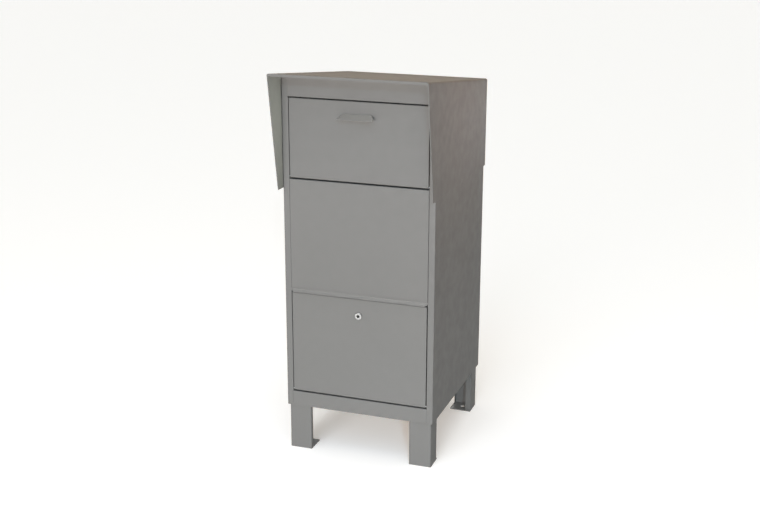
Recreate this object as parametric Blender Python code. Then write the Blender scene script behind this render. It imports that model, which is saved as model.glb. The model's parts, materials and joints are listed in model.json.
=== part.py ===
"""Free-standing steel parcel drop box under a sloping hood, on four bolted channel legs.

Units are metres and +Z is up. The front faces -Y, and the origin lies on the floor under the centre
of the whole box. Each object is one physical piece. Pieces that turn hang on an empty that sits on
their joint's axis: the drop door with its hopper, the access door below, and the lock's core.
"""

import math

import bmesh
import bpy
from mathutils import Matrix, Vector

# Driving sizes of the cabinet
WIDTH = 0.508
DEPTH = 0.564
BASE = 0.1565  # floor to the underside of the cabinet, which is the height of the legs
SHEET = 0.0015
CLEAR = 0.0003  # kept between pieces that touch
HALF = WIDTH / 2
INNER_FACE = HALF - SHEET  # inner face of a side panel, from the middle
STILE = 0.0216  # width of the strip of a side panel that shows beside the doors
RETURN = 0.020  # depth of the fold behind a stile
REAR_FLANGE = 0.020
PAN_UPTURN = 0.025

# The hood: a bent sheet with folded edges, higher at the front than at the rear
HOOD_WIDTH = 0.514
HOOD_AHEAD = 0.102  # how far its top edge stands in front of the cabinet
HOOD_AHEAD_LOW = 0.0365  # the same at the bottom corner of its sides
HOOD_BEHIND = 0.006
HOOD_TOP_FRONT = 1.279
HOOD_TOP_REAR = 1.196
HOOD_LOW_FRONT = 0.902
HOOD_LOW_REAR = 0.896
HOOD_BEND = 0.0065
HOOD_FRONT_FOLD = 0.003  # its sides' front edges are hemmed, so they are twice as thick
HOOD_FRONT_DROP = 0.0085  # its roof's front edge is bent down by this much
HOOD_REAR_FOLD = 0.020

FRONT = (HOOD_AHEAD - HOOD_BEHIND - DEPTH) / 2  # y of the cabinet's front face
REAR = FRONT + DEPTH
OPENING = HALF - STILE  # half the width between the stiles

# Heights of what fills the front, from the top down
HEADER_LOW = 1.1954
DROP_TOP = 1.1920
DROP_AXIS_Z = 0.9412
MIDDLE_TOP = 0.9332
MIDDLE_LOW = 0.5590
MIDDLE_GAP = 0.0006
ACCESS_TOP = 0.5546
ACCESS_AXIS_Z = 0.2150
RAIL_TOP = 0.2070
STOP_FOLD = 0.02425  # middle of the folds behind the doors' top lips, from the front face
HEADER_FOLD_DROP = 0.0092
LATCH_LOW = 0.5300

# The drip lip over the access door
LIP_SHEET = 0.0012
LIP_TOP = 0.5705
LIP_BEND = 0.5670
LIP_LOW = 0.5584
LIP_AHEAD = 0.0080
LIP_HALF = 0.2345  # half its width on the middle panel
LIP_HALF_LOW = 0.2238  # the same along its lower edge, past its mitred ends

# Doors: each is a sheet whose bottom edge is curled round a fixed rod
DOOR_HALF = 0.2298
CURL = 0.0040  # outer radius of the curl, which also sets the axis behind the front face
ROD = 0.0019
ROD_HALF = 0.2500
ROD_HOLE = 0.0022
DOOR_FOLD = 0.0120  # depth of the folds round a door
DOOR_LIP = 0.0070
AXIS_Y = FRONT + CURL

# The hopper behind the drop door
TRAY_SLOPE = math.radians(15)
TRAY_RISE = 0.0075  # height of the tray's bend over the axis
TRAY_LENGTH = 0.243
TRAY_LIP = 0.008
TRAY_BACK = 0.0245  # height of the tray's fold against the door
CHEEK_RADIUS = 0.2415
CHEEK_SHEET = 0.0012
CHEEK_FACE = DOOR_HALF - 0.0018  # outer face of a cheek, inside the door's side fold
STOP_RADIUS = 0.232
STOP_ANGLE = math.radians(-8)
STOP_PIN = 0.0045
STOP_NECK = 0.0022
STOP_REACH = 0.0104  # how far the pin stands out from the cheek
BRACKET_LOW = 1.155
BRACKET_TOP = 1.184
BRACKET_BEHIND = 0.0300

# The pull on the drop door
PULL_TOP_HALF = 0.0455
PULL_LOW_HALF = 0.0597
PULL_FOOT_HALF = 0.0535
PULL_TOP = 1.1530
PULL_LOW = 1.1393
PULL_AHEAD = 0.0350
PULL_SHEET = 0.0012

# The lock, in the middle of the access door
LOCK_Z = 0.498
LOCK_BARREL = 0.0095
LOCK_BORE = 0.0059
LOCK_CORE = 0.0056
LOCK_LENGTH = 0.0240
LOCK_HEAD = 0.0120
LOCK_PROUD = 0.0033
CORE_END = 0.0262
SPIGOT_END = 0.0288
SPIGOT = 0.0035
KEY_PIN = 0.0013
KEY_PIN_BACK = 0.0030  # how far the pin stands behind the core's face
KEY_RING = 0.0043  # outer radius of the round keyway
KEY_DEPTH = 0.0075
CAM_REACH = 0.0550
CAM_SHEET = 0.0020

# Legs and foot plates
LEG_SHEET = 0.0025
LEG_FACE = 0.076
LEG_WEB = 0.065
LEG_RETURN = 0.020
LEG_LIP = 0.013  # fold at the free edge of the wide face
LEG_FLANGE = 0.003
LEG_BOLT_ACROSS = 0.043  # bolt from the web
LEG_BOLT_BEHIND = 0.034  # bolt from the wide face
LEG_INSET_X = 0.0059
LEG_INSET_Y = 0.0064
FOOT_PLATE = 0.0030
FOOT_DEPTH = 0.072
ANCHOR_HOLE = 0.0080
BOLT = 0.0040
BOLT_HOLE = 0.0044
HEX_HEAD = 0.0053
HEX_NUT = 0.0065
HEX_RADIUS = 0.0075

SIDES = {"left": -1, "right": 1}
ENDS = {"front": 1, "rear": -1}
ROUND = 32  # sides of a turned piece

GREY = (0.33, 0.33, 0.32)
STEEL = (0.52, 0.52, 0.53)


def clear_scene():
    for thing in list(bpy.data.objects):
        bpy.data.objects.remove(thing)


def hood_top(y):
    """Height of the hood's upper face at a given depth."""
    share = (y - FRONT + HOOD_AHEAD) / (DEPTH + HOOD_AHEAD + HOOD_BEHIND)
    return HOOD_TOP_FRONT + share * (HOOD_TOP_REAR - HOOD_TOP_FRONT)


def under_hood(y):
    """Height that a piece under the flat of the hood may reach."""
    return hood_top(y) - SHEET - 2 * CLEAR


def under_bend(y):
    """Height that a side panel may reach, inside the hood's bend."""
    return under_hood(y) - 0.2 * HOOD_BEND


def hood_low(y):
    """Height of the bottom edge of the hood's sides."""
    share = (y - FRONT + HOOD_AHEAD_LOW) / (DEPTH + HOOD_AHEAD_LOW + HOOD_BEHIND)
    return HOOD_LOW_FRONT + share * (HOOD_LOW_REAR - HOOD_LOW_FRONT)


# ---- materials -------------------------------------------------------------------------------


def finish(name, colour, roughness, metallic=0.0):
    material = bpy.data.materials.new(name)
    material.use_nodes = True
    shader = material.node_tree.nodes["Principled BSDF"]
    shader.inputs["Base Color"].default_value = (*colour, 1)
    shader.inputs["Roughness"].default_value = roughness
    shader.inputs["Metallic"].default_value = metallic
    return material


def painted(name):
    return finish(name + "_paint", GREY, 0.5)


def steel(name):
    return finish(name + "_steel", STEEL, 0.4, 1.0)


# ---- shape tools -----------------------------------------------------------------------------


def stations(corners, radius, steps=4):
    """Points and directions along a line of 2D corners, with each corner rounded to the radius."""
    line = [Vector(corner) for corner in corners]
    found = [(line[0], (line[1] - line[0]).normalized())]
    for before, corner, after in zip(line, line[1:], line[2:]):
        arriving = (corner - before).normalized()
        leaving = (after - corner).normalized()
        turn = math.atan2(arriving.cross(leaving), arriving.dot(leaving))
        start = corner - arriving * radius * math.tan(abs(turn) / 2)
        swing = math.copysign(radius, turn)
        centre = start + left_of(arriving) * swing
        for step in range(steps + 1):
            heading = Matrix.Rotation(turn * step / steps, 2) @ arriving
            found.append((centre - left_of(heading) * swing, heading))
    found.append((line[-1], (line[-1] - line[-2]).normalized()))
    return found


def left_of(direction):
    return Vector((-direction.y, direction.x))


def thicken(line, thickness):
    """Closed outline of a sheet whose middle follows the stations."""
    left = [point + left_of(heading) * thickness / 2 for point, heading in line]
    right = [point - left_of(heading) * thickness / 2 for point, heading in line]
    return left + right[::-1]


def folded(corners, thickness=SHEET, inner_radius=0.0007):
    """Outline of a folded sheet, from the corners of its middle line."""
    return thicken(stations(corners, inner_radius + thickness / 2), thickness)


def arc(centre, radius, start, end, steps):
    """Points on an arc, with angles counted from the first axis towards the second."""
    angles = [start + (end - start) * step / steps for step in range(steps + 1)]
    return [(centre[0] + radius * math.cos(a), centre[1] + radius * math.sin(a)) for a in angles]


def rounded_rectangle(low, high, radius, steps=4):
    centres = [
        (high[0] - radius, high[1] - radius),
        (low[0] + radius, high[1] - radius),
        (low[0] + radius, low[1] + radius),
        (high[0] - radius, low[1] + radius),
    ]
    outline = []
    for quarter, centre in enumerate(centres):
        start = quarter * math.pi / 2
        outline += arc(centre, radius, start, start + math.pi / 2, steps)
    return outline


def hexagon(centre, radius):
    return arc(centre, radius, 0, math.tau, 6)[:-1]


def add_rings(shape, rings, closed=False):
    """Skins a list of rings of equal length. The first and last are capped unless closed is set."""
    rows = [[shape.verts.new(point) for point in ring] for ring in rings]
    pairs = list(zip(rows, rows[1:]))
    if closed:
        pairs.append((rows[-1], rows[0]))
    for row, following in pairs:
        for index, corner in enumerate(row):
            side = (corner, row[index - 1], following[index - 1], following[index])
            shape.faces.new(side)
    if not closed:
        shape.faces.new(rows[0])
        shape.faces.new(reversed(rows[-1]))


def add_prism(shape, outline, axis, low, high):
    """Adds the solid that a 2D outline sweeps along an axis. A level may depend on the outline's point."""

    def ring(level):
        points = []
        for pair in outline:
            spot = list(pair)
            spot.insert("XYZ".index(axis), level(pair) if callable(level) else level)
            points.append(spot)
        return points

    add_rings(shape, [ring(low), ring(high)])


def add_box(shape, low, high):
    corners = [(low[0], low[1]), (high[0], low[1]), (high[0], high[1]), (low[0], high[1])]
    add_prism(shape, corners, "Z", low[2], high[2])


def add_turned(shape, profile, centre, axis, sides=ROUND):
    """Adds a turned body from (radius, height) pairs, in a closed loop or from axis to axis."""
    towards = {"X": ((0, 1, 0), (0, 0, 1)), "Y": ((0, 0, 1), (1, 0, 0)), "Z": ((1, 0, 0), (0, 1, 0))}[axis]
    along = Vector([letter == axis for letter in "XYZ"])
    rings = []
    for radius, height in profile:
        ring = []
        for side in range(sides):
            turn = math.tau * side / sides
            spoke = Vector(towards[0]) * math.cos(turn) + Vector(towards[1]) * math.sin(turn)
            ring.append(Vector(centre) + along * height + spoke * radius)
        rings.append(ring)
    add_rings(shape, rings, closed=min(radius for radius, _ in profile) > 0)


def make(name, build, material=None):
    """Makes one object from what build adds to an empty mesh."""
    shape = bmesh.new()
    build(shape)
    bmesh.ops.remove_doubles(shape, verts=shape.verts, dist=1e-7)
    bmesh.ops.dissolve_degenerate(shape, edges=shape.edges, dist=1e-7)
    bmesh.ops.recalc_face_normals(shape, faces=shape.faces)
    mesh = bpy.data.meshes.new(name)
    shape.to_mesh(mesh)
    shape.free()
    mesh.shade_smooth()
    mesh.set_sharp_from_angle(angle=math.radians(32))
    thing = bpy.data.objects.new(name, mesh)
    bpy.context.scene.collection.objects.link(thing)
    if material:
        mesh.materials.append(material)
    return thing


def combine(target, operation, build):
    """Joins a helper shape to the target, or cuts it out, with a Boolean that stays live."""
    label = f"{target.name}_{operation.lower()}_{len(target.children)}"
    helper = make(label, build)
    helper.parent = target
    helper.hide_render = True
    helper.display_type = "WIRE"
    modifier = target.modifiers.new(label, "BOOLEAN")
    modifier.object = helper
    modifier.operation = operation
    modifier.solver = "EXACT"


def hang(pieces, axis_name, point):
    """Puts pieces on an empty at the joint's axis, with their origins there."""
    axis = bpy.data.objects.new(axis_name, None)
    axis.location = point
    bpy.context.scene.collection.objects.link(axis)
    for piece in pieces:
        piece.parent = axis
        for thing in (piece, *piece.children):
            thing.data.transform(Matrix.Translation(-Vector(point)))
    return axis


# ---- cabinet ---------------------------------------------------------------------------------


def side_panel(side, sign):
    """Side of the cabinet with its stile and the fold behind it at the front, and a flange at the rear."""
    middle = HALF - SHEET / 2
    behind_stile = OPENING + SHEET / 2
    corners = [
        (behind_stile, FRONT + RETURN),
        (behind_stile, FRONT + SHEET / 2),
        (middle, FRONT + SHEET / 2),
        (middle, REAR - SHEET / 2),
        (HALF - REAR_FLANGE, REAR - SHEET / 2),
    ]
    outline = [(sign * x, y) for x, y in folded(corners)]
    name = f"side_panel_{side}"
    panel = make(
        name,
        lambda shape: add_prism(shape, outline, "Z", BASE, lambda point: under_bend(point[1])),
        painted(name),
    )
    notch_side = sorted((sign * (OPENING - 0.002), sign * frame_edge()))
    for low, high in ((BASE - 0.01, RAIL_TOP + 2 * CLEAR), (HEADER_LOW - 2 * CLEAR, HOOD_TOP_FRONT)):
        ends = (notch_side[0], FRONT - 0.001, low), (notch_side[1], FRONT + RETURN + 0.001, high)
        combine(panel, "DIFFERENCE", lambda shape: add_box(shape, *ends))
    for height in (DROP_AXIS_Z, ACCESS_AXIS_Z):
        hole = [(0, -0.005), (ROD_HOLE, -0.005), (ROD_HOLE, 0.005), (0, 0.005)]
        centre = (sign * behind_stile, AXIS_Y, height)
        combine(panel, "DIFFERENCE", lambda shape: add_turned(shape, hole, centre, "X", 20))
    return panel


def frame_edge():
    """Where the header and the bottom rail meet the stiles, from the middle."""
    return OPENING + 0.0021


def header_panel():
    """Fixed strip over the drop door, folded under the hood and down behind the door's top edge."""
    skin = FRONT + SHEET / 2
    stop = FRONT + STOP_FOLD
    flange = FRONT + 0.016
    corners = [
        (flange, under_hood(flange) - SHEET),
        (skin, under_hood(skin) - SHEET),
        (skin, HEADER_LOW + SHEET / 2),
        (stop, HEADER_LOW + SHEET / 2),
        (stop, HEADER_LOW - HEADER_FOLD_DROP),
    ]
    half = frame_edge() - CLEAR
    outline = folded(corners)
    return make(
        "header_panel",
        lambda shape: add_prism(shape, outline, "X", -half, half),
        painted("header"),
    )


def add_side_folds(panel, half, depth, low, high):
    """Joins the two folds that run down the sides of a front sheet."""
    for sign in SIDES.values():
        edges = sorted((sign * (half - 0.0002), sign * (half - 0.0002 - SHEET)))
        ends = (edges[0], FRONT + 0.0005, low), (edges[1], FRONT + depth, high)
        combine(panel, "UNION", lambda shape: add_box(shape, *ends))


def middle_panel():
    """Fixed sheet between the two doors, folded back all round."""
    half = OPENING - MIDDLE_GAP
    skin = FRONT + SHEET / 2
    corners = [
        (FRONT + 0.015, MIDDLE_TOP - SHEET / 2),
        (skin, MIDDLE_TOP - SHEET / 2),
        (skin, MIDDLE_LOW + SHEET / 2),
        (FRONT + 0.022, MIDDLE_LOW + SHEET / 2),
    ]
    outline = folded(corners)
    panel = make(
        "middle_panel",
        lambda shape: add_prism(shape, outline, "X", -half, half),
        painted("middle_panel"),
    )
    add_side_folds(panel, half, 0.015, MIDDLE_LOW + SHEET / 2, MIDDLE_TOP - SHEET / 2)
    return panel


def lip_half(z):
    """Half the width of the drip lip at a height: its ends are mitred below the bend."""
    share = min((z - LIP_LOW) / (LIP_BEND - LIP_LOW), 1)
    return LIP_HALF_LOW + share * (LIP_HALF - LIP_HALF_LOW)


def drip_lip():
    """Bent strip on the middle panel that sheds rain clear of the access door's top edge."""
    skin = FRONT - CLEAR - LIP_SHEET / 2
    corners = [(skin, LIP_TOP), (skin, LIP_BEND), (FRONT - LIP_AHEAD, LIP_LOW)]
    outline = folded(corners, LIP_SHEET)
    ends = (lambda point: -lip_half(point[1])), (lambda point: lip_half(point[1]))
    return make("drip_lip", lambda shape: add_prism(shape, outline, "X", *ends), painted("drip_lip"))


def latch_rail():
    """Angle behind the middle panel's bottom fold. It backs the access door and catches the cam."""
    top = MIDDLE_LOW + SHEET + CLEAR + SHEET / 2
    stop = FRONT + STOP_FOLD
    corners = [(FRONT + 0.004, top), (stop, top), (stop, LATCH_LOW)]
    outline = folded(corners)
    half = OPENING - 2 * SHEET
    return make(
        "latch_rail", lambda shape: add_prism(shape, outline, "X", -half, half), painted("latch_rail")
    )


def bottom_rail():
    """Fixed strip under the access door."""
    skin = FRONT + SHEET / 2
    corners = [(FRONT + 0.020, RAIL_TOP - SHEET / 2), (skin, RAIL_TOP - SHEET / 2), (skin, BASE)]
    half = frame_edge() - CLEAR
    outline = folded(corners)
    return make(
        "bottom_rail",
        lambda shape: add_prism(shape, outline, "X", -half, half),
        painted("bottom_rail"),
    )


def back_panel():
    """Back sheet, which lies inside the side panels' rear flanges and folds forward under the hood."""
    half = INNER_FACE - 2 * CLEAR
    skin = REAR - SHEET - CLEAR - SHEET / 2
    front_of_fold = REAR - 0.022
    corners = [
        (front_of_fold, under_hood(front_of_fold) - SHEET),
        (skin, under_hood(skin) - SHEET),
        (skin, BASE),
    ]
    outline = folded(corners)
    return make(
        "back_panel",
        lambda shape: add_prism(shape, outline, "X", -half, half),
        painted("back_panel"),
    )


def floor_pan():
    """Bottom sheet with an upturned edge all round and a bolt hole over each leg."""
    upturn = BASE + PAN_UPTURN
    half = INNER_FACE - CLEAR
    front = FRONT + SHEET + CLEAR
    rear = REAR - 2 * SHEET - 2 * CLEAR
    middle = half - SHEET / 2
    low = BASE + SHEET / 2
    outline = folded([(-middle, upturn), (-middle, low), (middle, low), (middle, upturn)])
    pan = make(
        "floor_pan", lambda shape: add_prism(shape, outline, "Y", front, rear), painted("floor_pan")
    )
    inset = 0.0002  # keeps the joined walls' faces off the pan's own
    for near, far in ((front + inset, front + inset + SHEET), (rear - inset - SHEET, rear - inset)):
        ends = (inset - half, near, BASE + 2 * inset), (half - inset, far, upturn - inset)
        combine(pan, "UNION", lambda shape: add_box(shape, *ends))
    for end in ENDS:
        for side in SIDES:
            centre = leg_bolt_centre(end, side)
            hole = [(0, -0.01), (BOLT_HOLE, -0.01), (BOLT_HOLE, 0.01), (0, 0.01)]
            combine(pan, "DIFFERENCE", lambda shape: add_turned(shape, hole, centre, "Z", 20))
    return pan


def hood():
    """Roof and rain hood in one bent sheet, with its front and rear edges folded inwards."""
    front_top = FRONT - HOOD_AHEAD
    lean = (HOOD_AHEAD - HOOD_AHEAD_LOW) / (HOOD_TOP_FRONT - HOOD_LOW_FRONT)

    def front_y(z, shift):
        return front_top + shift + (HOOD_TOP_FRONT - z) * lean

    def section(top, low, inset, drop):
        """Half loop of points, up one side, over the top and down the other."""
        radius = max(HOOD_BEND - inset, 0.0002)
        x = HOOD_WIDTH / 2 - inset
        z = top - drop
        points = [(-x, low)]
        points += arc((radius - x, z - radius), radius, math.pi, math.pi / 2, 5)
        points += arc((x - radius, z - radius), radius, math.pi / 2, 0, 5)
        return points + [(x, low)]

    def both_faces(top, low, inset, drop):
        return section(top, low, 0, 0) + section(top, low, inset, drop)[::-1]

    def front_ring(shift, inset, drop):
        loop = both_faces(hood_top(front_top + shift), HOOD_LOW_FRONT, inset, drop)
        return [(x, front_y(z, shift), z) for x, z in loop]

    def rear_ring(y, inset):
        return [(x, y, z) for x, z in both_faces(hood_top(y), hood_low(y), inset, inset)]

    end = REAR + HOOD_BEHIND
    rings = [
        front_ring(0, HOOD_FRONT_FOLD, HOOD_FRONT_DROP),
        front_ring(SHEET, HOOD_FRONT_FOLD, HOOD_FRONT_DROP),
        front_ring(SHEET, SHEET, SHEET),
        rear_ring(end - SHEET, SHEET),
        rear_ring(end - SHEET, HOOD_REAR_FOLD),
        rear_ring(end, HOOD_REAR_FOLD),
    ]
    return make("hood", lambda shape: add_rings(shape, rings), painted("hood"))


# ---- legs ------------------------------------------------------------------------------------


def leg_y(end, from_face):
    """Depth of a point that lies a given distance behind a leg's wide outer face."""
    if end == "front":
        return FRONT + LEG_INSET_Y + from_face
    return REAR - LEG_INSET_Y - from_face


def leg_x(side, from_web):
    """Place across of a point that lies a given distance inside a leg's outer web."""
    return SIDES[side] * (HALF - LEG_INSET_X - from_web)


def leg_bolt_centre(end, side):
    return leg_x(side, LEG_BOLT_ACROSS), leg_y(end, LEG_BOLT_BEHIND), BASE


def span(first, second):
    return min(first, second), max(first, second)


def leg(end, side):
    """Channel with a wide lipped face, a web at the side and a narrow return, under a top flange."""
    middle = LEG_SHEET / 2
    corners = [
        (leg_x(side, LEG_FACE - middle), leg_y(end, LEG_LIP)),
        (leg_x(side, LEG_FACE - middle), leg_y(end, middle)),
        (leg_x(side, middle), leg_y(end, middle)),
        (leg_x(side, middle), leg_y(end, LEG_WEB - middle)),
        (leg_x(side, LEG_RETURN), leg_y(end, LEG_WEB - middle)),
    ]
    outline = folded(corners, LEG_SHEET, 0.0015)
    name = f"leg_{end}_{side}"
    low = FOOT_PLATE + CLEAR
    top = BASE - CLEAR
    channel = make(
        name, lambda shape: add_prism(shape, outline, "Z", low, top - 0.0005), painted(name)
    )
    xs = span(leg_x(side, 0.001), leg_x(side, LEG_FACE - 0.001))
    ys = span(leg_y(end, 0.001), leg_y(end, LEG_WEB - 0.001))
    flange = (xs[0], ys[0], top - LEG_FLANGE), (xs[1], ys[1], top)
    combine(channel, "UNION", lambda shape: add_box(shape, *flange))
    hole = [(0, -0.02), (BOLT_HOLE, -0.02), (BOLT_HOLE, 0.02), (0, 0.02)]
    centre = leg_bolt_centre(end, side)
    combine(channel, "DIFFERENCE", lambda shape: add_turned(shape, hole, centre, "Z", 20))
    return channel


def foot_plate(end, side):
    """Flat plate under a leg, with the hole for a floor anchor in its middle."""
    xs = span(leg_x(side, 0), leg_x(side, LEG_FACE))
    ys = span(leg_y(end, 0), leg_y(end, FOOT_DEPTH))
    name = f"foot_plate_{end}_{side}"
    outline = rounded_rectangle((xs[0], ys[0]), (xs[1], ys[1]), 0.003)
    plate = make(name, lambda shape: add_prism(shape, outline, "Z", 0, FOOT_PLATE), painted(name))
    hole = [(0, -0.01), (ANCHOR_HOLE, -0.01), (ANCHOR_HOLE, 0.01), (0, 0.01)]
    centre = (sum(xs) / 2, sum(ys) / 2, 0)
    combine(plate, "DIFFERENCE", lambda shape: add_turned(shape, hole, centre, "Z", 24))
    return plate


def leg_bolt(end, side):
    """Hex bolt that comes up through a leg's top flange and the floor pan."""
    x, y, _ = leg_bolt_centre(end, side)
    under_flange = BASE - 2 * CLEAR - LEG_FLANGE
    tip = BASE + SHEET + HEX_NUT + 0.003
    name = f"leg_bolt_{end}_{side}"
    head = hexagon((x, y), HEX_RADIUS)
    bolt = make(
        name,
        lambda shape: add_prism(shape, head, "Z", under_flange - HEX_HEAD, under_flange),
        steel(name),
    )
    start = under_flange - 0.002
    shank = [(0, start), (BOLT, start), (BOLT, tip - 0.001), (BOLT - 0.001, tip), (0, tip)]
    combine(bolt, "UNION", lambda shape: add_turned(shape, shank, (x, y, 0), "Z", 20))
    return bolt


def leg_nut(end, side):
    """Hex nut on a leg bolt, inside the cabinet."""
    x, y, _ = leg_bolt_centre(end, side)
    low = BASE + SHEET + CLEAR
    name = f"leg_nut_{end}_{side}"
    outline = hexagon((x, y), HEX_RADIUS)
    nut = make(name, lambda shape: add_prism(shape, outline, "Z", low, low + HEX_NUT), steel(name))
    hole = [(0, -0.01), (BOLT + CLEAR, -0.01), (BOLT + CLEAR, 0.02), (0, 0.02)]
    combine(nut, "DIFFERENCE", lambda shape: add_turned(shape, hole, (x, y, BASE), "Z", 20))
    return nut


# ---- doors -----------------------------------------------------------------------------------


def door_panel(name, axis_z, top):
    """Door skin: curled round its rod at the bottom, folded back at the top and sides."""
    curl_line = CURL - SHEET / 2
    curl = []
    for step in range(25):
        angle = math.radians(450 - 270 * step / 24)
        spoke = Vector((math.cos(angle), math.sin(angle)))
        curl.append((Vector((AXIS_Y, axis_z)) + spoke * curl_line, Vector((spoke.y, -spoke.x))))
    skin = FRONT + SHEET / 2
    lip = FRONT + DOOR_FOLD - SHEET / 2
    corners = [(skin, axis_z), (skin, top - SHEET / 2), (lip, top - SHEET / 2), (lip, top - DOOR_LIP)]
    rest = stations(corners, 0.0007 + SHEET / 2)[1:]
    outline = thicken(curl + rest, SHEET)
    panel = make(
        name,
        lambda shape: add_prism(shape, outline, "X", -DOOR_HALF, DOOR_HALF),
        painted(name),
    )
    add_side_folds(panel, DOOR_HALF, DOOR_FOLD, axis_z + 0.010, top - SHEET / 2)
    return panel


def hinge_rod(name, axis_z):
    """Fixed rod that a door's curled edge turns on. Its ends rest in the folds behind the stiles."""
    bevel = 0.0005
    profile = [
        (0, -ROD_HALF),
        (ROD - bevel, -ROD_HALF),
        (ROD, bevel - ROD_HALF),
        (ROD, ROD_HALF - bevel),
        (ROD - bevel, ROD_HALF),
        (0, ROD_HALF),
    ]
    centre = (0, AXIS_Y, axis_z)
    return make(name, lambda shape: add_turned(shape, profile, centre, "X", 20), steel(name))


def door_pull():
    """Pressed finger pull: a sloping face and two end faces, open below."""
    back = FRONT - 0.0013
    ahead = FRONT - PULL_AHEAD

    def build(shape):
        places = [
            (-PULL_TOP_HALF, back, PULL_TOP),
            (PULL_TOP_HALF, back, PULL_TOP),
            (PULL_LOW_HALF, ahead, PULL_LOW),
            (-PULL_LOW_HALF, ahead, PULL_LOW),
            (PULL_FOOT_HALF, back, PULL_LOW),
            (-PULL_FOOT_HALF, back, PULL_LOW),
        ]
        corners = [shape.verts.new(place) for place in places]
        shape.faces.new([corners[index] for index in (0, 3, 2, 1)])
        shape.faces.new([corners[index] for index in (1, 2, 4)])
        shape.faces.new([corners[index] for index in (0, 5, 3)])

    pull = make("door_pull", build, painted("door_pull"))
    soften = pull.modifiers.new("edges", "BEVEL")
    soften.width = 0.0030
    soften.segments = 3
    soften.limit_method = "ANGLE"
    soften.angle_limit = math.radians(25)
    shell = pull.modifiers.new("sheet", "SOLIDIFY")
    shell.thickness = PULL_SHEET
    shell.offset = -1
    shell.use_even_offset = True
    return pull


def hopper_tray():
    """Sloping plate behind the drop door. It carries a parcel back as the door closes."""
    back = AXIS_Y + SHEET / 2 - CURL + SHEET + CLEAR
    down_slope = Vector((math.cos(TRAY_SLOPE), -math.sin(TRAY_SLOPE)))
    bend = Vector((back, DROP_AXIS_Z + TRAY_RISE))
    end = bend + down_slope * TRAY_LENGTH
    corners = [(back, bend.y + TRAY_BACK), bend, end, end - left_of(down_slope) * TRAY_LIP]
    outline = folded(corners)
    half = CHEEK_FACE - CHEEK_SHEET - CLEAR
    return make(
        "hopper_tray",
        lambda shape: add_prism(shape, outline, "X", -half, half),
        painted("hopper_tray"),
    )


def hopper_cheek(side, sign):
    """Quarter-round plate that closes one end of the hopper and stops parcels sliding off sideways."""
    near_door = SHEET + CLEAR - CURL
    edge = TRAY_RISE - 0.0012  # height of its lower edge over the axis
    first = math.asin(edge * math.cos(TRAY_SLOPE) / CHEEK_RADIUS) - TRAY_SLOPE
    last = math.acos(near_door / CHEEK_RADIUS)
    centre = (AXIS_Y, DROP_AXIS_Z)
    outline = [(AXIS_Y + near_door, DROP_AXIS_Z + edge - near_door * math.tan(TRAY_SLOPE))]
    outline += arc(centre, CHEEK_RADIUS, first, last, 28)
    name = f"hopper_cheek_{side}"
    levels = sorted((sign * CHEEK_FACE, sign * (CHEEK_FACE - CHEEK_SHEET)))
    cheek = make(name, lambda shape: add_prism(shape, outline, "X", *levels), painted(name))
    radius = STOP_NECK + CLEAR
    hole = [(0, -0.01), (radius, -0.01), (radius, 0.01), (0, 0.01)]
    place = stop_pin_place(sign)
    combine(cheek, "DIFFERENCE", lambda shape: add_turned(shape, hole, place, "X", 20))
    return cheek


def stop_pin_place(sign):
    """Middle of a stop pin where it passes through its cheek."""
    y = AXIS_Y + STOP_RADIUS * math.cos(STOP_ANGLE)
    z = DROP_AXIS_Z + STOP_RADIUS * math.sin(STOP_ANGLE)
    return sign * CHEEK_FACE, y, z


def stop_pin(side, sign):
    """Shouldered pin riveted through a cheek. It meets the stop bracket when the door is fully open."""
    profile = [
        (0, -0.0030),
        (0.0035, -0.0030),
        (0.0042, -0.0022),
        (0.0042, -CHEEK_SHEET - CLEAR),
        (STOP_NECK, -CHEEK_SHEET - CLEAR),
        (STOP_NECK, CLEAR),
        (STOP_PIN, CLEAR),
        (STOP_PIN, STOP_REACH - 0.0006),
        (STOP_PIN - 0.0006, STOP_REACH),
        (0, STOP_REACH),
    ]
    mirrored = [(radius, sign * height) for radius, height in profile]
    name = f"stop_pin_{side}"
    place = stop_pin_place(sign)
    return make(name, lambda shape: add_turned(shape, mirrored, place, "X", 24), steel(name))


def stop_bracket(side, sign):
    """Small angle behind the stile, which the stop pin meets."""
    beside = OPENING + SHEET + CLEAR + SHEET / 2
    across = FRONT + BRACKET_BEHIND + SHEET / 2
    corners = [(beside, FRONT + 0.005), (beside, across), (OPENING - 0.0024, across)]
    outline = [(sign * x, y) for x, y in folded(corners)]
    levels = BRACKET_LOW, BRACKET_TOP
    name = f"stop_bracket_{side}"
    return make(name, lambda shape: add_prism(shape, outline, "Z", *levels), painted(name))


def bumper(name, sign, z, radius):
    """Domed rubber bumper between a door's top lip and the fixed fold behind it."""
    front = FRONT + DOOR_FOLD + CLEAR
    rear = FRONT + STOP_FOLD - SHEET / 2 - CLEAR
    dome = [(radius * math.sin(a), front + radius * 0.5 * (1 - math.cos(a))) for a in quarter_angles()]
    profile = dome + [(radius, rear), (0, rear)]
    centre = (sign * 0.200, 0, z)
    rubber = finish(name + "_rubber", (0.02, 0.02, 0.02), 0.8)
    return make(name, lambda shape: add_turned(shape, profile, centre, "Y", 20), rubber)


def quarter_angles(steps=4):
    return [math.pi / 2 * step / steps for step in range(steps + 1)]


# ---- lock ------------------------------------------------------------------------------------


def cut_lock_hole(door):
    hole = [(0, -0.01), (LOCK_BARREL + CLEAR, -0.01), (LOCK_BARREL + CLEAR, 0.01), (0, 0.01)]
    centre = (0, FRONT, LOCK_Z)
    combine(door, "DIFFERENCE", lambda shape: add_turned(shape, hole, centre, "Y"))


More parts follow.
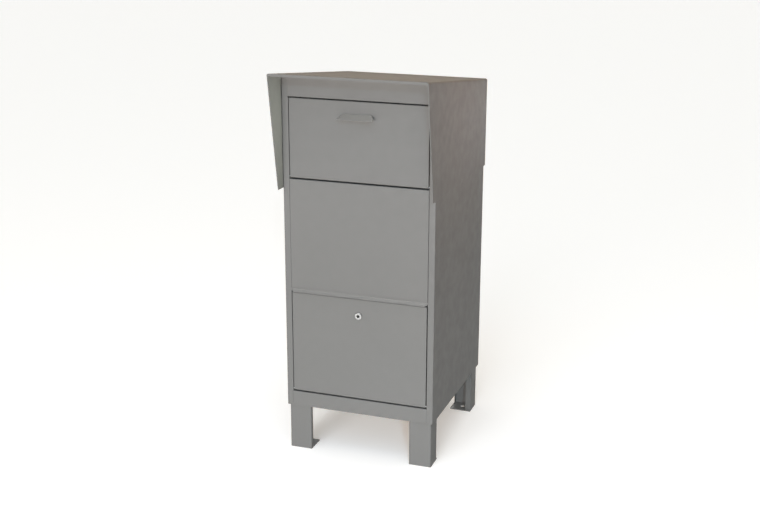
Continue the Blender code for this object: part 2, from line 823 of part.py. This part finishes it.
def lock_housing():
    """Lock body: a flanged head outside the door and a barrel through it."""
    bevel = 0.0012
    profile = [
        (LOCK_BORE, -LOCK_PROUD),
        (LOCK_HEAD - bevel, -LOCK_PROUD),
        (LOCK_HEAD, bevel - LOCK_PROUD),
        (LOCK_HEAD, -CLEAR),
        (LOCK_BARREL, -CLEAR),
        (LOCK_BARREL, LOCK_LENGTH),
        (LOCK_BORE, LOCK_LENGTH),
    ]
    centre = (0, FRONT, LOCK_Z)
    chrome = finish("lock_housing_chrome", (0.75, 0.75, 0.77), 0.15, 1.0)
    return make("lock_housing", lambda shape: add_turned(shape, profile, centre, "Y"), chrome)


def lock_nut():
    """Hex nut that clamps the lock to the door from behind."""
    outline = hexagon((0, LOCK_Z), 0.0130)
    low = FRONT + SHEET + CLEAR
    nut = make(
        "lock_nut", lambda shape: add_prism(shape, outline, "Y", low, low + 0.004), steel("lock_nut")
    )
    radius = LOCK_BARREL + CLEAR
    hole = [(0, -0.01), (radius, -0.01), (radius, 0.02), (0, 0.02)]
    combine(nut, "DIFFERENCE", lambda shape: add_turned(shape, hole, (0, FRONT, LOCK_Z), "Y"))
    return nut


def lock_core():
    """Turning core of the lock, with a round keyway in front and a spigot for the cam behind."""
    front = 0.0005 - LOCK_PROUD
    bevel = 0.0004
    profile = [
        (0, front + KEY_PIN_BACK),
        (KEY_PIN, front + KEY_PIN_BACK),
        (KEY_PIN, front + KEY_DEPTH),
        (KEY_RING, front + KEY_DEPTH),
        (KEY_RING, front),
        (LOCK_CORE - bevel, front),
        (LOCK_CORE, front + bevel),
        (LOCK_CORE, CORE_END),
        (SPIGOT, CORE_END),
        (SPIGOT, SPIGOT_END),
        (0, SPIGOT_END),
    ]
    centre = (0, FRONT, LOCK_Z)
    chrome = finish("lock_core_chrome", (0.7, 0.7, 0.72), 0.2, 1.0)
    core = make("lock_core", lambda shape: add_turned(shape, profile, centre, "Y", 24), chrome)
    notch_top = LOCK_Z + KEY_RING + 0.0007
    notch = (-0.0007, FRONT - 0.0060, notch_top - 0.0017), (0.0007, FRONT + 0.0020, notch_top)
    combine(core, "DIFFERENCE", lambda shape: add_box(shape, *notch))
    return core


def lock_cam():
    """Flat cam that turns up behind the latch rail. It lies level when the lock is open."""
    low = FRONT + CORE_END + CLEAR
    boss = 0.0095
    tip = 0.0070
    outline = arc((0, LOCK_Z), boss, -math.pi / 2, math.pi / 2, 10)
    outline += arc((tip - CAM_REACH, LOCK_Z), tip, math.pi / 2, math.pi * 3 / 2, 8)
    cam = make(
        "lock_cam",
        lambda shape: add_prism(shape, outline, "Y", low, low + CAM_SHEET),
        steel("lock_cam"),
    )
    radius = SPIGOT + CLEAR
    hole = [(0, -0.01), (radius, -0.01), (radius, 0.01), (0, 0.01)]
    combine(cam, "DIFFERENCE", lambda shape: add_turned(shape, hole, (0, low, LOCK_Z), "Y", 20))
    return cam


def cam_screw():
    """Screw that holds the cam on the core's spigot."""
    low = SPIGOT_END + CLEAR
    top = low + 0.0026
    radius = 0.0055
    bevel = 0.0010
    profile = [(0, low), (radius, low), (radius, top - bevel), (radius - bevel, top), (0, top)]
    centre = (0, FRONT, LOCK_Z)
    return make(
        "cam_screw", lambda shape: add_turned(shape, profile, centre, "Y", 24), steel("cam_screw")
    )


# ---- assembly --------------------------------------------------------------------------------


def build_cabinet():
    for side, sign in SIDES.items():
        side_panel(side, sign)
        stop_bracket(side, sign)
        bumper(f"drop_bumper_{side}", sign, HEADER_LOW - 0.0062, 0.0032)
        bumper(f"access_bumper_{side}", sign, ACCESS_TOP - 0.0045, 0.0045)
    header_panel()
    middle_panel()
    drip_lip()
    latch_rail()
    bottom_rail()
    back_panel()
    floor_pan()
    hood()
    hinge_rod("drop_hinge_rod", DROP_AXIS_Z)
    hinge_rod("access_hinge_rod", ACCESS_AXIS_Z)


def build_legs():
    for end in ENDS:
        for side in SIDES:
            leg(end, side)
            foot_plate(end, side)
            leg_bolt(end, side)
            leg_nut(end, side)


def build_drop_door():
    pieces = [door_panel("drop_door_panel", DROP_AXIS_Z, DROP_TOP), door_pull(), hopper_tray()]
    for side, sign in SIDES.items():
        pieces.append(hopper_cheek(side, sign))
        pieces.append(stop_pin(side, sign))
    hang(pieces, "drop_door_axis", (0, AXIS_Y, DROP_AXIS_Z))


def build_access_door():
    panel = door_panel("access_door_panel", ACCESS_AXIS_Z, ACCESS_TOP)
    cut_lock_hole(panel)
    pieces = [panel, lock_housing(), lock_nut()]
    door_axis = hang(pieces, "access_door_axis", (0, AXIS_Y, ACCESS_AXIS_Z))
    core_axis = hang([lock_core(), lock_cam(), cam_screw()], "lock_axis", (0, FRONT, LOCK_Z))
    core_axis.parent = door_axis
    core_axis.location = Vector((0, FRONT, LOCK_Z)) - door_axis.location


def main():
    clear_scene()
    build_cabinet()
    build_legs()
    build_drop_door()
    build_access_door()


main()
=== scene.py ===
import json
import math

import bpy
from mathutils import Matrix, Vector


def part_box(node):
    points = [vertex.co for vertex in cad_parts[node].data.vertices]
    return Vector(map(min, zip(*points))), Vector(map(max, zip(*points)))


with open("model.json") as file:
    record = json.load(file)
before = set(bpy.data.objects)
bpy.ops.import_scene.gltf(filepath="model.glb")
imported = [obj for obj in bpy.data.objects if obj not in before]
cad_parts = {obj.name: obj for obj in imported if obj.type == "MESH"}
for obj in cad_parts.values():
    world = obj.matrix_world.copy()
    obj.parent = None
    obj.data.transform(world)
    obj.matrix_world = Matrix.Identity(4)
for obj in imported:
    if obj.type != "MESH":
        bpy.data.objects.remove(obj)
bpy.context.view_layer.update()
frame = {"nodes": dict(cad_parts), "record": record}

SIDES = ("left", "right")
ENDS = ("front", "rear")

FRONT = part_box("middle_panel")[0].y  # the cabinet's front face

# Camera, from the front face's foot on the middle line: metres, radians and a lens in millimetres
CAMERA_PLACE = Vector((1.3277, -3.5477, 1.8335))
CAMERA_YAW = 0.3399
CAMERA_PITCH = -0.2987
CAMERA_ROLL = 0.0022
CAMERA_LENS = 59.07
CAMERA_REACH = 200.0

# Suns: azimuth, height and softness in degrees, and the light each gives (R, G, B)
SUNS = {
    "key_light": (23, 20.5, 4, (0.20, 0.29, 0.36)),
    "front_top_light": (8, 48, 50, (0.24, 0.30, 0.36)),
    "top_light": (0, 90, 60, (0.45, 0.43, 0.395)),
}
# Softboxes: place, aim, width, height, spread in degrees, and power in watts (R, G, B)
SOFTBOXES = {
    "front_light": ((0, -4.2, 0.72), (0, 0, 0.72), 2.4, 1.8, 120, (110, 107, 108)),
    "side_light": ((1.15, 0.05, 1.60), (0.257, 0.05, 1.20), 0.5, 0.5, 80, (1.14, 0.55, 0.21)),
    "low_light": ((0.40, -2.30, 0.30), (0.10, -0.23, 0.10), 1.0, 0.3, 30, (0.26, 0.32, 0.36)),
    "roof_light": ((0, 0, 3.2), (0, 0, 1.24), 0.5, 0.5, 90, (15.4, 12.9, 10.5)),
    "hood_fill": ((0.18, -0.29, 1.10), (-0.25, -0.29, 1.10), 0.06, 0.30, 130, (1.66, 1.77, 1.62)),
    "foot_fill": ((1.2, -2.2, 1.6), (0, 0, 0), 0.6, 0.6, 120, (24, 24, 24)),
    "pull_fill": ((1.3, -1.5, 2.2), (0, -0.25, 1.14), 0.3, 0.3, 90, (22, 22, 22)),
    "lip_fill": ((0.3, -1.2, 1.6), (0, -0.24, 0.56), 0.3, 0.3, 90, (3.3, 3.2, 3.2)),
    "rear_light": ((-0.6, 4.2, 0.35), (0, 0.3, 0.7), 2.4, 0.5, 120, (80, 80, 80)),
    "left_light": ((-3.6, 0.2, 0.65), (-0.25, 0, 0.8), 1.8, 1.0, 120, (28, 28, 28)),
}
FEET = [f"foot_plate_{end}_{side}" for end in ENDS for side in SIDES]

# Lamps that light only the nodes listed
RECEIVERS = {
    "roof_light": ["hood"],
    "hood_fill": ["hood"],
    "foot_fill": FEET,
    "pull_fill": ["door_pull"],
    "lip_fill": ["drip_lip"],
    "rear_light": list(frame["nodes"]),
    "left_light": list(frame["nodes"]),
}
# Lamps whose light only the nodes listed can block
BLOCKERS = {"foot_fill": FEET}

SKY = (0.10, 0.10, 0.10)

# Studio paper: a square floor, and a ring round it for the backdrop, in metres
PAPER_ROUGHNESS = 0.9
FLOOR_COLOUR = (0.87, 0.87, 0.87)
FLOOR_DRIFT = (0.995, 1.005)  # factors on the colour, from patch to patch
FLOOR_GLOW = (0.27, 0.22, 0.17)
FLOOR_REACH = 60.0
BACKDROP_REACH = 50.0
BACKDROP_LOW = -1.0
BACKDROP_TOP = 20.0
BACKDROP_SIDES = 64

# Powder coat: the pairs are the ends of a range
PAINT_COLOUR = (0.100, 0.0955, 0.0880)
PAINT_ROUGHNESS = (0.53, 0.64)
PAINT_SPECULAR = 0.28
PAINT_DRIFT = (0.97, 1.03)  # factors on the colour, from patch to patch
PAINT_SPECK = 0.80  # factor on the colour in a dark speck
PAINT_SPECK_SHARE = 0.10
PAINT_WORN_AND_HIGHLIT_EDGE = 1.35  # factor on the colour along an edge: partly worn coat, partly a painted highlight
PAINT_WORN_AND_HIGHLIT_EDGE_SHARE = (0.10, 0.50)
PAINT_EDGE_RADIUS = 0.0010

ZINC_DARK = (0.42, 0.42, 0.41, 1)
ZINC_BRIGHT = (0.60, 0.60, 0.62, 1)
ZINC_ROUGHNESS = (0.28, 0.46)

CHROME_DARK = (0.25, 0.25, 0.24, 1)
CHROME_BRIGHT = (0.33, 0.33, 0.32, 1)
# Painted shade: a near-black colour put in the lock's keyway and grooves, where shade falls, and
# how far it reaches
CHROME_RECESS_SHADE = (0.02, 0.02, 0.02, 1)
CHROME_RECESS_SHADE_REACH = 0.012
CHROME_ROUGHNESS = (0.28, 0.46)

RUBBER_COLOUR = (0.018, 0.018, 0.019, 1)
RUBBER_DUST = (0.045, 0.044, 0.042, 1)
RUBBER_ROUGHNESS = (0.68, 0.85)

# Cosine between an eased edge and the flat face at which the edge gets the whole paler colour, for
# wear and as a painted highlight
EDGE_TURN = 0.75
# Openness at which a point counts as deep in a recess, and as outside it
RECESS_DEEP = 0.55
RECESS_OPEN = 0.92


# ---- materials -------------------------------------------------------------------------------


class Recipe:
    """A Principled material and short ways to add nodes to it."""

    def __init__(self, name, metallic=0.0):
        self.material = bpy.data.materials.new(name)
        self.material.use_nodes = True
        self.tree = self.material.node_tree
        self.shader = self.tree.nodes["Principled BSDF"]
        self.shader.inputs["Metallic"].default_value = metallic
        self.place = self.add("ShaderNodeTexCoord").outputs["Object"]

    def add(self, kind, **settings):
        node = self.tree.nodes.new(kind)
        for key, value in settings.items():
            setattr(node, key, value)
        return node

    def link(self, source, target):
        self.tree.links.new(source, target)

    def feed(self, target, value):
        """Sets an input to a number or links a socket to it."""
        if isinstance(value, bpy.types.NodeSocket):
            self.link(value, target)
        else:
            target.default_value = value

    def noise(self, scale, detail=3.0, stretch=None):
        """Noise from 0 to 1, with this many features to a metre."""
        node = self.add("ShaderNodeTexNoise")
        node.inputs["Scale"].default_value = scale
        node.inputs["Detail"].default_value = detail
        place = self.place
        if stretch:
            mapping = self.add("ShaderNodeMapping")
            mapping.inputs["Scale"].default_value = stretch
            self.link(place, mapping.inputs["Vector"])
            place = mapping.outputs["Vector"]
        self.link(place, node.inputs["Vector"])
        return node.outputs["Fac"]

    def remap(self, value, low, high, to_low=0.0, to_high=1.0):
        """Turns the range from low to high into the range from to_low to to_high, and clips it."""
        node = self.add("ShaderNodeMapRange")
        for index, number in enumerate((low, high, to_low, to_high), start=1):
            node.inputs[index].default_value = number
        self.link(value, node.inputs[0])
        return node.outputs[0]

    def math(self, operation, first, second):
        node = self.add("ShaderNodeMath", operation=operation)
        self.feed(node.inputs[0], first)
        self.feed(node.inputs[1], second)
        return node.outputs[0]

    def mix(self, share, first, second):
        """The first colour where the share is 0, and the second where it is 1."""
        node = self.add("ShaderNodeMix", data_type="RGBA")
        self.feed(node.inputs["Factor"], share)
        self.feed(node.inputs["A"], first)
        self.feed(node.inputs["B"], second)
        return node.outputs["Result"]

    def rounded(self, radius):
        """The surface's direction, with its edges eased to the radius."""
        bevel = self.add("ShaderNodeBevel", samples=6)
        bevel.inputs["Radius"].default_value = radius
        return bevel.outputs["Normal"]

    def edges(self, rounded):
        """0 on flat stretches, towards 1 where the eased surface turns away from the real one."""
        geometry = self.add("ShaderNodeNewGeometry")
        dot = self.add("ShaderNodeVectorMath", operation="DOT_PRODUCT")
        self.link(rounded, dot.inputs[0])
        self.link(geometry.outputs["True Normal"], dot.inputs[1])
        return self.remap(dot.outputs["Value"], 1.0, EDGE_TURN)

    def recesses(self, reach):
        """1 deep inside the piece's own holes and grooves, 0 on its open faces."""
        cover = self.add("ShaderNodeAmbientOcclusion", samples=8, only_local=True)
        cover.inputs["Distance"].default_value = reach
        return self.remap(cover.outputs["AO"], RECESS_DEEP, RECESS_OPEN, 1.0, 0.0)

    def bump(self, height, strength, distance, after=None):
        """The surface's direction with the height as relief, on top of another direction."""
        node = self.add("ShaderNodeBump")
        node.inputs["Strength"].default_value = strength
        node.inputs["Distance"].default_value = distance
        self.link(height, node.inputs["Height"])
        if after:
            self.link(after, node.inputs["Normal"])
        return node.outputs["Normal"]

    def glow(self, colour):
        self.shader.inputs["Emission Color"].default_value = (*colour, 1)
        self.shader.inputs["Emission Strength"].default_value = 1.0

    def finish(self, colour, roughness, normal=None):
        self.feed(self.shader.inputs["Base Color"], colour)
        self.feed(self.shader.inputs["Roughness"], roughness)
        if normal:
            self.link(normal, self.shader.inputs["Normal"])
        return self.material


def shade(colour, factor):
    """The colour times the factor, as an opaque one."""
    return (*[channel * factor for channel in colour], 1)


def powder_coat(name, colour):
    """Satin powder coat: orange peel, slow drifts of tone, and edges paler from worn coat and from
    a painted highlight.
    """
    recipe = Recipe(name)
    recipe.shader.inputs["Specular IOR Level"].default_value = PAINT_SPECULAR
    drift = recipe.remap(recipe.noise(2.2, 2.0), 0.3, 0.7)
    toned = recipe.mix(drift, *[shade(colour, factor) for factor in PAINT_DRIFT])
    specks = recipe.remap(recipe.noise(900, 2.0), 0.35, 0.65)
    specks = recipe.math("MULTIPLY", specks, PAINT_SPECK_SHARE)
    toned = recipe.mix(specks, toned, shade(colour, PAINT_SPECK))
    rounded = recipe.rounded(PAINT_EDGE_RADIUS)
    # paler edges: partly worn coat, partly a painted highlight where light catches the bends
    worn_and_highlit_edge = recipe.remap(recipe.noise(45), 0.4, 0.6, *PAINT_WORN_AND_HIGHLIT_EDGE_SHARE)
    worn_and_highlit_edge = recipe.math("MULTIPLY", recipe.edges(rounded), worn_and_highlit_edge)
    toned = recipe.mix(worn_and_highlit_edge, toned, shade(colour, PAINT_WORN_AND_HIGHLIT_EDGE))
    roughness = recipe.remap(recipe.noise(30, 4.0), 0.3, 0.7, *PAINT_ROUGHNESS)
    peel = recipe.bump(recipe.noise(420, 2.0), strength=0.035, distance=0.0002, after=rounded)
    return recipe.finish(toned, roughness, peel)


def zinc_plate(name):
    """Bright zinc on steel, clouded, with a fine upright grain."""
    recipe = Recipe(name, metallic=1.0)
    cloud = recipe.remap(recipe.noise(160, 4.0), 0.3, 0.7)
    colour = recipe.mix(cloud, ZINC_DARK, ZINC_BRIGHT)
    roughness = recipe.remap(recipe.noise(300, 3.0), 0.3, 0.7, *ZINC_ROUGHNESS)
    grain = recipe.noise(900, 2.0, stretch=(1, 1, 0.2))
    drawn = recipe.bump(grain, strength=0.12, distance=0.0002, after=recipe.rounded(0.0005))
    return recipe.finish(colour, roughness, drawn)


def chrome_plate(name):
    """Satin chrome with finger smudges, fine scratches and painted shade in its recesses."""
    recipe = Recipe(name, metallic=1.0)
    smudge = recipe.remap(recipe.noise(220, 4.0), 0.35, 0.7, *CHROME_ROUGHNESS)
    colour = recipe.mix(recipe.noise(120), CHROME_DARK, CHROME_BRIGHT)
    # painted shade: the colour turns near black deep in the piece's own holes and grooves
    colour = recipe.mix(recipe.recesses(CHROME_RECESS_SHADE_REACH), colour, CHROME_RECESS_SHADE)
    marks = recipe.noise(2200, 1.0)
    scratch = recipe.bump(marks, strength=0.05, distance=0.0001, after=recipe.rounded(0.0006))
    return recipe.finish(colour, smudge, scratch)


def black_rubber(name):
    """Matt moulded rubber with dust in its grain."""
    recipe = Recipe(name)
    dust = recipe.remap(recipe.noise(500, 4.0), 0.45, 0.7)
    colour = recipe.mix(dust, RUBBER_COLOUR, RUBBER_DUST)
    roughness = recipe.remap(dust, 0.0, 1.0, *RUBBER_ROUGHNESS)
    grain = recipe.bump(recipe.noise(1500, 2.0), strength=0.25, distance=0.0002)
    return recipe.finish(colour, roughness, grain)


MATERIALS = {
    "cabinet_paint": powder_coat("grey_powder_coat", PAINT_COLOUR),
    "zinc_steel": zinc_plate("zinc_plated_steel"),
    "lock_chrome": chrome_plate("lock_chrome_plate"),
    "bumper_rubber": black_rubber("black_bumper_rubber"),
}


def dress_nodes():
    """Gives each CAD node the finish that its slot in the record names."""
    for row in frame["record"]["subparts"]:
        node = frame["nodes"][row["node"]]
        node.data.materials.clear()
        node.data.materials.append(MATERIALS[row["material_slot"]])


# ---- stage -----------------------------------------------------------------------------------


def add_stage(name, corners, faces):
    """Adds a plain mesh that isn't part of the object."""
    mesh = bpy.data.meshes.new(name)
    mesh.from_pydata(corners, [], faces)
    piece = bpy.data.objects.new(name, mesh)
    bpy.context.scene.collection.objects.link(piece)
    return piece


def add_floor():
    quarters = ((-1, -1), (1, -1), (1, 1), (-1, 1))
    corners = [(x * FLOOR_REACH, y * FLOOR_REACH, 0) for x, y in quarters]
    floor = add_stage("studio_floor", corners, [(0, 1, 2, 3)])
    recipe = Recipe("studio_floor_paper")
    recipe.glow(FLOOR_GLOW)
    colour = recipe.mix(recipe.noise(6), *[shade(FLOOR_COLOUR, factor) for factor in FLOOR_DRIFT])
    floor.data.materials.append(recipe.finish(colour, PAPER_ROUGHNESS))


def add_backdrop():
    """A white paper ring near the floor's edge. It is seen, but lights and shades nothing."""
    turns = [math.tau * index / BACKDROP_SIDES for index in range(BACKDROP_SIDES)]
    ring = [(math.cos(turn) * BACKDROP_REACH, math.sin(turn) * BACKDROP_REACH) for turn in turns]
    corners = [(x, y, z) for z in (BACKDROP_LOW, BACKDROP_TOP) for x, y in ring]
    faces = []
    for index in range(BACKDROP_SIDES):
        after = (index + 1) % BACKDROP_SIDES
        faces.append((index, after, after + BACKDROP_SIDES, index + BACKDROP_SIDES))
    backdrop = add_stage("studio_backdrop", corners, faces)
    recipe = Recipe("studio_backdrop_paper")
    recipe.glow((1, 1, 1))
    colour = recipe.mix(recipe.noise(0.5), (0, 0, 0, 1), (0.02, 0.02, 0.02, 1))
    backdrop.data.materials.append(recipe.finish(colour, PAPER_ROUGHNESS))
    backdrop.visible_diffuse = False
    backdrop.visible_glossy = False
    backdrop.visible_shadow = False


def aim(light, towards):
    """Turns a light so that it shines from the given direction."""
    light.rotation_mode = "QUATERNION"
    light.rotation_quaternion = towards.to_track_quat("Z", "Y")


def add_lamp(name, kind, power):
    """Adds a lamp whose power is given for red, green and blue."""
    data = bpy.data.lights.new(name, kind)
    data.energy = max(power)
    data.color = [channel / max(power) for channel in power]
    lamp = bpy.data.objects.new(name, data)
    bpy.context.scene.collection.objects.link(lamp)
    return lamp


def group(name, nodes):
    """Collects CAD nodes for a lamp to single out."""
    collection = bpy.data.collections.new(name)
    for node in nodes:
        collection.objects.link(frame["nodes"][node])
    return collection


def add_suns():
    for name, (azimuth, height, softness, light) in SUNS.items():
        sun = add_lamp(name, "SUN", [channel * math.pi for channel in light])
        sun.data.angle = math.radians(softness)
        across, up = math.radians(azimuth), math.radians(height)
        level = math.cos(up)
        aim(sun, Vector((math.sin(across) * level, -math.cos(across) * level, math.sin(up))))


def add_softboxes():
    for name, (place, target, width, height, spread, power) in SOFTBOXES.items():
        box = add_lamp(name, "AREA", power)
        box.data.shape = "RECTANGLE"
        box.data.size = width
        box.data.size_y = height
        box.data.spread = math.radians(spread)
        box.location = place
        box.visible_camera = False
        aim(box, Vector(place) - Vector(target))
        if name in RECEIVERS:
            box.light_linking.receiver_collection = group(name + "_receivers", RECEIVERS[name])
        if name in BLOCKERS:
            box.light_linking.blocker_collection = group(name + "_blockers", BLOCKERS[name])


def add_sky():
    world = bpy.data.worlds.new("studio")
    world.use_nodes = True
    sky = world.node_tree.nodes["Background"]
    sky.inputs["Color"].default_value = (*[channel / max(SKY) for channel in SKY], 1)
    sky.inputs["Strength"].default_value = max(SKY)
    bpy.context.scene.world = world


def add_camera():
    """Looks along the yaw and pitch, with its horizon tipped by the roll."""
    ahead = Vector(
        (
            -math.sin(CAMERA_YAW) * math.cos(CAMERA_PITCH),
            math.cos(CAMERA_YAW) * math.cos(CAMERA_PITCH),
            math.sin(CAMERA_PITCH),
        )
    )
    level = Vector((math.cos(CAMERA_YAW), math.sin(CAMERA_YAW), 0))
    above = level.cross(ahead)
    right = level * math.cos(CAMERA_ROLL) + above * math.sin(CAMERA_ROLL)
    up = above * math.cos(CAMERA_ROLL) - level * math.sin(CAMERA_ROLL)
    data = bpy.data.cameras.new("camera")
    data.lens = CAMERA_LENS
    data.clip_end = CAMERA_REACH
    camera = bpy.data.objects.new("camera", data)
    bpy.context.scene.collection.objects.link(camera)
    turn = Matrix((right, up, -ahead)).transposed().to_4x4()
    camera.matrix_world = Matrix.Translation(CAMERA_PLACE + Vector((0, FRONT, 0))) @ turn
    bpy.context.scene.camera = camera


add_camera()
add_suns()
add_softboxes()
add_sky()
add_floor()
add_backdrop()
dress_nodes()
bpy.context.scene.view_settings.view_transform = "Standard"
